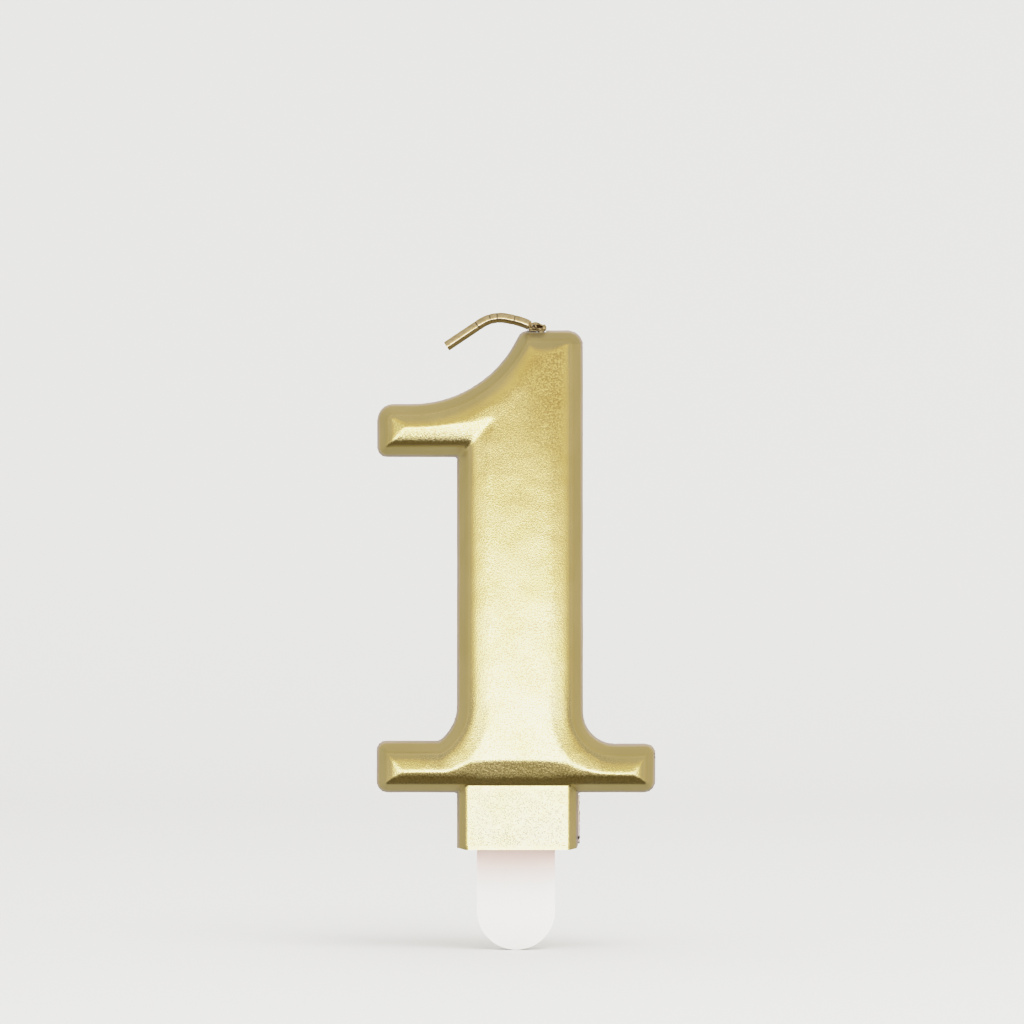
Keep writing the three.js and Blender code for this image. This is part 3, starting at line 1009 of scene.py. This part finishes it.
def crackedCoat():
    recipe = Recipe(bpy.data.materials.new("gold wick coat"))
    place = recipe.place()
    hollowShadeAndCracks = recipe.attribute("hollowShadeAndCracks")
    walked = recipe.attribute("walked")
    bare = recipe.attribute("bare")
    grain = recipe.noise(place, wick["grainScale"], 3.0, 0.6)
    broken = recipe.noise(place, wick["brokenScale"], 2.0)
    tone = recipe.mix(broken.step(*wick["paleLevels"]), wick["gold"], wick["paleGold"])
    for crack in wick["cracks"]:
        gap = abs(walked + (grain - 0.5) * wick["crackWaver"] - crack)
        hollowShadeAndCracks = hollowShadeAndCracks + (1 - gap.step(*wick["crackGap"])) * broken.step(*wick["crackBroken"])
    # the crack colour marks the cracks, and paints shade into the lump's hollows
    tone = recipe.mix(hollowShadeAndCracks, tone, wick["crack"])
    # painted shade on the coat's underside
    downwards = 0 - recipe.axes(recipe.normal())[2]
    tone = recipe.mix(downwards.step(*wick["underSlope"]) * wick["underShadeShare"], tone, wick["under"])
    tone = recipe.mix(bare, tone, wick["cotton"])
    roughness = bare * wick["bareRoughness"] + wick["roughness"] + grain * wick["grainRoughness"]
    shader = recipe.add("ShaderNodeBsdfPrincipled", {}, {
        "Base Color": tone,
        "Metallic": 1 - bare,
        "Roughness": roughness,
        "Normal": recipe.bump(1.0, wick["grainDepth"], grain),
    })
    return recipe.finish(shader)


# the coat droops a little towards the lump
def sagAt(distance):
    if distance < wick["sagTo"]:
        return wick["sag"] * rise(distance, wick["sagStart"], wick["sagTo"])
    return wick["sag"] * max(0.0, (wick["sagFrom"] - distance) / (wick["sagFrom"] - wick["sagTo"])) ** 2


# walks the wick's middle line from the root: each stop is (place, turn, distance)
def wickStops(root):
    rootTurn = math.radians(wick["rootTurn"])
    kneeTurn = math.radians(wick["kneeTurn"])
    stretches = [
        (wick["seat"], 0),
        (wick["rootBend"] * rootTurn, rootTurn),
        (wick["middleStretch"], 0),
        (wick["kneeBend"] * kneeTurn, kneeTurn),
        (wick["tipStretch"], 0),
    ]
    stops = []
    place, heading, distance = root.copy(), 0.0, 0.0
    for length, turn in stretches:
        steps = max(1, round(length / wick["step"]))
        for _ in range(steps):
            heading += turn / steps / 2
            place = place + Vector((-math.sin(heading), 0, math.cos(heading))) * (length / steps)
            heading += turn / steps / 2
            distance += length / steps
            stops.append((place - Vector((0, 0, sagAt(distance))), turn / steps, distance))
    return stops


# how wide the coat is along the walk: crushed inside the lump, and pinched at each crack
def widthAt(distance):
    if distance < wick["crushedTo"]:
        return wick["crushed"]
    nearest = min(abs(distance - crack) for crack in wick["cracks"])
    return 1 - wick["crackDepth"] * math.exp(-(nearest / wick["crackWidth"]) ** 2)


# ring by ring along the bends, from the root to the cut tip, and then the bare core down into the stem
def makeCoat(root, stops):
    pickNothing()
    bpy.ops.mesh.primitive_circle_add(
        vertices=wick["sides"], radius=wick["coat"] / 2, fill_type="NGON", location=root)
    piece = bpy.context.object
    piece.name = "wick_coat"
    settle(piece)
    openMesh(piece, pickAll=True)
    bpy.ops.mesh.select_mode(type="FACE")
    bpy.ops.mesh.select_all(action="SELECT")
    before, width = root, 1.0
    for place, turn, distance in stops:
        bpy.ops.mesh.extrude_region_move(TRANSFORM_OT_translate={"value": place - before})
        if turn:
            bpy.ops.transform.rotate(value=turn, orient_axis="Y", center_override=place)
        newWidth = widthAt(distance)
        if abs(newWidth - width) > wick["leastChange"]:
            ratio = newWidth / width
            bpy.ops.transform.resize(value=(ratio, ratio, ratio), center_override=place)
        before, width = place, newWidth
    bpy.ops.mesh.inset(thickness=wick["coat"] * wick["tipRim"])
    bpy.ops.mesh.inset(thickness=wick["coat"] * wick["tipHollow"], depth=-wick["coat"] * wick["tipDepth"])
    closeMesh()

    def atRoot(face):
        return face.normal.z < -squarely and abs(face.center.z - root.z) < wick["seat"]

    pickParts(piece, "FACE", atRoot)
    bpy.ops.mesh.inset(thickness=(wick["coat"] - wick["core"]) / 2)
    bpy.ops.mesh.extrude_region_move(TRANSFORM_OT_translate={"value": (0, 0, wick["foot"] - root.z)})
    closeMesh()
    return piece


def makeLump(root):
    parts = []
    for x, y, z, wide, deep, tall, tilt in wick["folds"]:
        pickNothing()
        place = (x * millimetre, y * millimetre, root.z + (z - wick["foldDrop"]) * millimetre)
        bpy.ops.mesh.primitive_ico_sphere_add(subdivisions=4, radius=millimetre, location=place)
        part = bpy.context.object
        part.scale = Vector((wide, deep, tall)) * wick["foldFullness"]
        part.rotation_euler = (0, math.radians(tilt), 0)
        settle(part)
        parts.append(part)
    lump = parts[0]
    joinInto(lump, parts[1:])
    folds = bpy.data.textures.new("crumpled folds", "VORONOI")
    folds.noise_scale = wick["foldSize"]
    folds.weight_1, folds.weight_2 = -1.0, 1.0
    applyModifier(lump, "DISPLACE", texture=folds, texture_coords="LOCAL",
                  strength=wick["foldDepth"], mid_level=0.5)
    return lump


# what the finish reads: the way walked along the wick, the painted shade in the lump's hollows, and where
# cotton is bare
def paintWick(piece, root, stops, coatPoints):
    hollowShadeAndCracks = piece.data.attributes.new("hollowShadeAndCracks", "FLOAT", "POINT")
    bare = piece.data.attributes.new("bare", "FLOAT", "POINT")
    walked = piece.data.attributes.new("walked", "FLOAT", "POINT")
    tip = stops[-1][0]
    lumpEnd = root.x - wick["crushedTo"] * wick["lumpEndShare"]
    for index, vertex in enumerate(piece.data.vertices):
        distance = min(stops, key=lambda stop: (stop[0] - vertex.co).length_squared)[2]
        walked.data[index].value = distance if vertex.co.x < lumpEnd else 0.0
        if index >= coatPoints:
            # painted shade: the deeper into the lump's folds, the darker
            away = (vertex.co - Vector((0, 0, root.z))) / millimetre - Vector(wick["lumpMiddle"])
            reach = math.sqrt(sum((part / whole) ** 2 for part, whole in zip(away, wick["lumpReach"])))
            hollowShadeAndCracks.data[index].value = min(1.0, max(0.0, (wick["hollowShadeFrom"] - reach) * wick["hollowShadeRate"]))
        atTip = (vertex.co - tip).length < wick["coat"] * wick["tipBare"]
        inStem = vertex.co.z < root.z - millimetre / 10 and vertex.co.x > lumpEnd and index < coatPoints
        bare.data[index].value = 1.0 if atTip or inStem else 0.0


def makeWick():
    root = Vector((wick["x"], 0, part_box("numeral_body")[1].z + wick["seat"]))
    stops = wickStops(root)
    piece = makeCoat(root, stops)
    coatPoints = len(piece.data.vertices)
    joinInto(piece, [makeLump(root)])
    paintWick(piece, root, stops, coatPoints)
    smoothPiece(piece, wick["smoothAngle"])
    finishPiece(piece, "candle", "wick_coat", crackedCoat(), "wick")
    print("wick:", len(piece.data.polygons), "faces, tip at",
          [round(value / millimetre, 2) for value in stops[-1][0]], "mm")


makeCamera()
makeFloor()
makeSoftbox()
makeTopPanel()
makeRoom()
setTone()
print("stage is set")
makeWax()
makeBlade()
makeWick()
